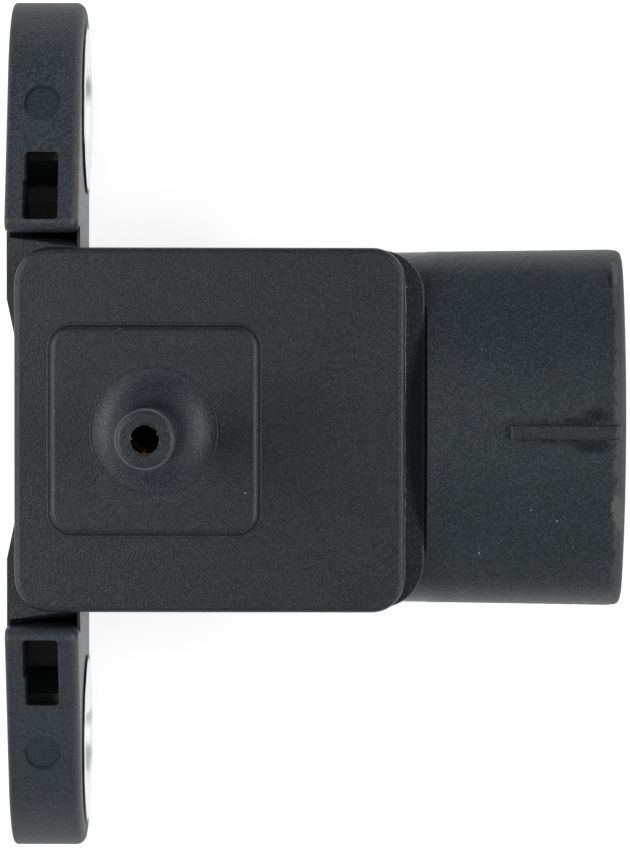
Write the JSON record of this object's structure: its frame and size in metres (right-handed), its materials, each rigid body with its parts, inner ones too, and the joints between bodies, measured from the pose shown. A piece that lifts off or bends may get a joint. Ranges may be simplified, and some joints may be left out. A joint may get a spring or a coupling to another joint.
{
  "type": "manifold absolute pressure sensor",
  "caption": "Intake manifold pressure sensor: flat moulded box with a hose nipple on its cover, flange ears with steel bushings, and an oval electrical connector shroud.",
  "frame": {"origin": "midway between the two bolt holes, in the plane of the mounting face", "axes": "+X from the mounting face towards the connector mouth, +Y along the two ears, +Z the way the nipple points"},
  "size_m": [0.0514, 0.072, 0.0422],
  "materials": {
    "housing_plastic": "fine-grained black moulding",
    "cover_plastic": "fine-grained black moulding",
    "bushing_steel": "bright zinc-plated steel",
    "terminal_tin": "tin-plated brass",
    "adhesive": "cured black adhesive",
    "sealant": "cured amber-brown sealant",
    "board_laminate": "green laminate",
    "solder": "bright solder",
    "cell_cup_plastic": "ivory moulding",
    "cell_glass": "clear glass",
    "silicon": "polished silicon",
    "wire_gold": "bright gold",
    "gel": "clear amber gel",
    "seal_silicone": "orange-brown silicone",
    "chip_epoxy": "black epoxy",
    "capacitor_ceramic": "tan ceramic",
    "resistor_ceramic": "black glaze on ceramic"
  },
  "bodies": {
    "root": {"housing": "housing_plastic", "port_cover": "cover_plastic", "cover_adhesive": "adhesive", "upper_bushing": "bushing_steel", "lower_bushing": "bushing_steel", "supply_terminal": "terminal_tin", "signal_terminal": "terminal_tin", "ground_terminal": "terminal_tin", "terminal_sealant": "sealant", "circuit_board": "board_laminate", "supply_solder": "solder", "signal_solder": "solder", "ground_solder": "solder", "cell_cup": "cell_cup_plastic", "glass_pedestal": "cell_glass", "pressure_die": "silicon", "bond_wires": "wire_gold", "cell_gel": "gel", "port_seal": "seal_silicone", "signal_chip": "chip_epoxy", "supply_capacitor": "capacitor_ceramic", "signal_capacitor": "capacitor_ceramic", "filter_capacitor": "capacitor_ceramic", "gain_resistor": "resistor_ceramic", "offset_resistor": "resistor_ceramic", "pull_up_resistor": "resistor_ceramic", "load_resistor": "resistor_ceramic"}
  },
  "joints": []
}
